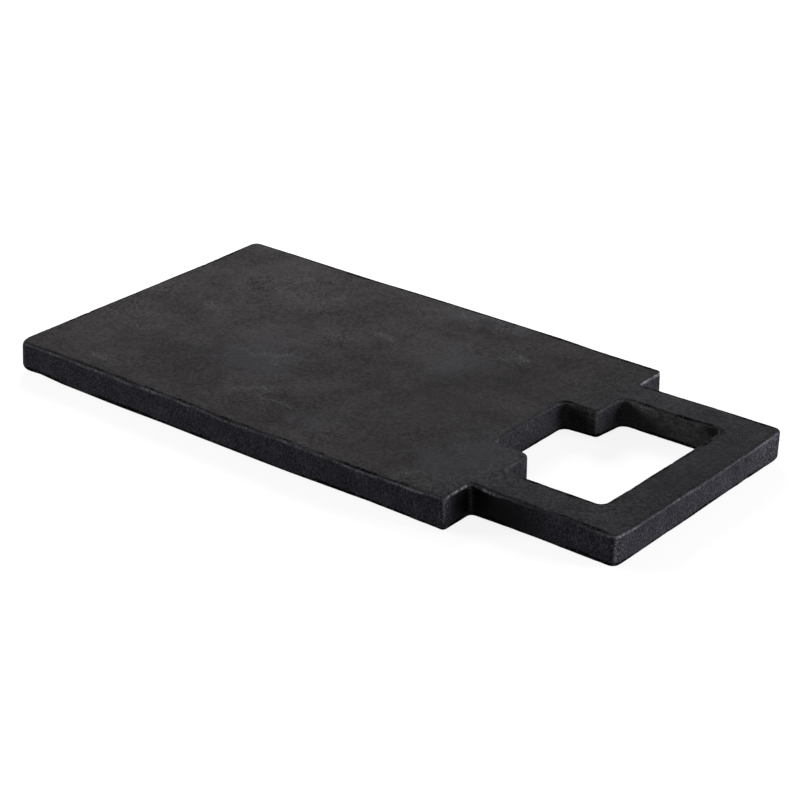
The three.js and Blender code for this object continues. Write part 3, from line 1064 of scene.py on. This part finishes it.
# The pale line is partly wear and partly a painted highlight, and so is the colour of the upright corners.
pale = product(
    tree,
    ramp(tree, torn, 0.0, 0.4),
    ramp(tree, torn, 1.4, 2.0, 1.0, 0.0),
    ramp(tree, beads, 0.37, 0.57, 0.20, 1.15),
    stretches,
    attribute("wear_and_highlight"),
)
corner_wear_and_highlight = ramp(tree, ragged, 0.40, 0.60, 0.1, 0.8)
corners = product(tree, attribute("upright"), ramp(tree, rim, 0.0, 1.0), corner_wear_and_highlight)
stone = mix_colours(tree, math_of(tree, "MAXIMUM", pale, corners), stone, EDGE_WORN_AND_HIGHLIT)
tree.links.new(stone, shader.inputs["Base Color"])
print(len(tree.nodes), "nodes with its edges")

# %% [markdown]
# Honing stops short of a polish, so the stone stays dull, a little less so in its lighter clouds. The black
# line is duller still. Its grain could be displaced for real, but it is so fine that a bump, which only bends
# the light, looks the same.

# %% Give it a honed surface
GRAIN_DEPTH = 0.15 * MM
GRAIN_STRENGTH = 0.35

honed = ramp(tree, clouds["Cloud"], 0.0, 1.0, 0.60, 0.50)
tree.links.new(math_of(tree, "MAXIMUM", honed, black), shader.inputs["Roughness"])
bumped(tree, shader, grain["Height"], GRAIN_DEPTH, GRAIN_STRENGTH)
slab.data.materials.append(marble)
print("stone:", len(tree.nodes), "nodes")

# %% [markdown]
# ## Rubber and adhesive
# Moulded rubber is black and matt with a fine grain from its mould. The adhesive is a pale, slightly cloudy
# film. Plain colours would do for pieces that are hardly seen, but the shared groups give both a grain of
# their own at no further cost.

# %% Make the rubber and the adhesive
RUBBER_BLACK = (0.010, 0.010, 0.0105, 1)
RUBBER_GREY = (0.022, 0.022, 0.023, 1)
FILM_DARK = (0.52, 0.48, 0.36, 1)
FILM_LIGHT = (0.64, 0.61, 0.49, 1)
MOULD_GRAIN_DEPTH = 0.1 * MM
MOULD_GRAIN_STRENGTH = 0.4

rubber, tree, shader, place = new_material("moulded_rubber", 1.3)
grain = use_group(tree, grain_group, Place=place, Scale=1800.0)
colour = mix_colours(tree, grain["Specks"], RUBBER_BLACK, RUBBER_GREY)
tree.links.new(colour, shader.inputs["Base Color"])
tree.links.new(ramp(tree, grain["Height"], 0.3, 0.7, 0.68, 0.85), shader.inputs["Roughness"])
bumped(tree, shader, grain["Height"], MOULD_GRAIN_DEPTH, MOULD_GRAIN_STRENGTH)
for piece in feet:
    piece.data.materials.append(rubber)

adhesive, tree, shader, place = new_material("adhesive_film", 1.4)
clouds = use_group(tree, cloud_group, Place=place, Scale=300.0)
colour = mix_colours(tree, clouds["Cloud"], FILM_DARK, FILM_LIGHT)
tree.links.new(colour, shader.inputs["Base Color"])
tree.links.new(ramp(tree, clouds["Patches"], 0.0, 1.0, 0.5, 0.65), shader.inputs["Roughness"])
for piece in discs:
    piece.data.materials.append(adhesive)
print("materials:", ", ".join(m.name for m in (marble, rubber, adhesive)))

# %% [markdown]
# ## Floor, light and surroundings
# The board stands on a plain white floor under soft studio light. A large soft box on the handle's side
# lights the end of the handle, a smaller one beyond the plain end brightens the top there, and a far one at
# the front left fills the long near side and leaves the inner corner by the handle dark. The floor's shadow
# stays. Enough lamps could light the whole floor white, but they would wash out the stone, so the floor has a
# share of its own light out to the edge of the view.

# %% Lay the floor
FLOOR_RADIUS = 4.0
FLOOR_SIDES = 96
FLOOR_DROP = 0.1 * MM
FLOOR_UNSEEN = (0.2, 0.2, 0.2, 1)  # as it lights the stone
FLOOR_SEEN = (0.25, 0.25, 0.25, 1)  # as it takes the shadow
FLOOR_GLOW = 0.88


def disc_points(radius):
    """Rim of a flat round floor just under the feet: radius times (cos t, sin t) once round."""
    turn = np.linspace(0, 2 * np.pi, FLOOR_SIDES, endpoint=False)
    height = np.full(FLOOR_SIDES, -FLOOR_DROP)
    return np.stack([radius * np.cos(turn), radius * np.sin(turn), height], axis=-1)


floor_mesh = bpy.data.meshes.new("floor")
floor_mesh.from_pydata(disc_points(FLOOR_RADIUS).tolist(), [], [list(range(FLOOR_SIDES))])
floor = bpy.data.objects.new("floor", floor_mesh)
bpy.context.scene.collection.objects.link(floor)

paper = bpy.data.materials.new("white_floor")
paper.use_nodes = True
tree = paper.node_tree
tree.nodes.remove(tree.nodes["Principled BSDF"])


def seen_ray(tree):
    """1 for a ray from the camera, or one that is mirrored or let through on its way from it, else 0."""
    path = add_node(tree, "ShaderNodeLightPath").outputs
    mirrored = math_of(tree, "MAXIMUM", path["Is Glossy Ray"], path["Is Transmission Ray"])
    return math_of(tree, "MAXIMUM", path["Is Camera Ray"], mirrored)


plain = add_node(tree, "ShaderNodeBsdfDiffuse", {"Color": FLOOR_UNSEEN})
shaded = add_node(tree, "ShaderNodeBsdfDiffuse", {"Color": FLOOR_SEEN})
glow = add_node(tree, "ShaderNodeEmission", {"Strength": FLOOR_GLOW})
white = add_node(tree, "ShaderNodeAddShader", {0: shaded.outputs[0], 1: glow.outputs[0]})
both = add_node(tree, "ShaderNodeMixShader", {0: seen_ray(tree), 1: plain.outputs[0], 2: white.outputs[0]})
tree.links.new(both.outputs[0], tree.nodes["Material Output"].inputs["Surface"])
floor_mesh.materials.append(paper)
print(f"floor {2 * FLOOR_RADIUS:.0f} m across")

# %% [markdown]
# The surroundings look white but give the stone only a dim light, because soft boxes do the lighting in a
# studio. A picture of a studio could light it too, but single lamps can be moved one by one.

# %% Hang the lights
DIM_ROOM = 0.12

world = bpy.data.worlds.new("studio")
bpy.context.scene.world = world
world.use_nodes = True
tree = world.node_tree
strength = ramp(tree, seen_ray(tree), 0.0, 1.0, DIM_ROOM, 1.0)
tree.links.new(strength, tree.nodes["Background"].inputs["Strength"])
tree.nodes["Background"].inputs["Color"].default_value = (1, 1, 1, 1)


def soft_box(name, position, size, watts, mirrored=True):
    """A square area light that looks at the middle of the board. One that is not mirrored lights the stone
    without showing in its sheen."""
    data = bpy.data.lights.new(name, "AREA")
    data.size = size
    data.energy = watts
    lamp = bpy.data.objects.new(name, data)
    lamp.location = position
    lamp.rotation_euler = (-Vector(position)).to_track_quat("-Z", "Y").to_euler()
    lamp.visible_glossy = mirrored
    bpy.context.scene.collection.objects.link(lamp)


soft_box("handle_soft_box", (2.19, 0.71, 0.40), 0.8, 69)
soft_box("back_soft_box", (-0.62, 0.65, 0.55), 0.5, 13.6, mirrored=False)
soft_box("front_soft_box", (-3.9, -2.85, 1.3), 1.5, 170)
bpy.context.scene.view_settings.view_transform = "Standard"
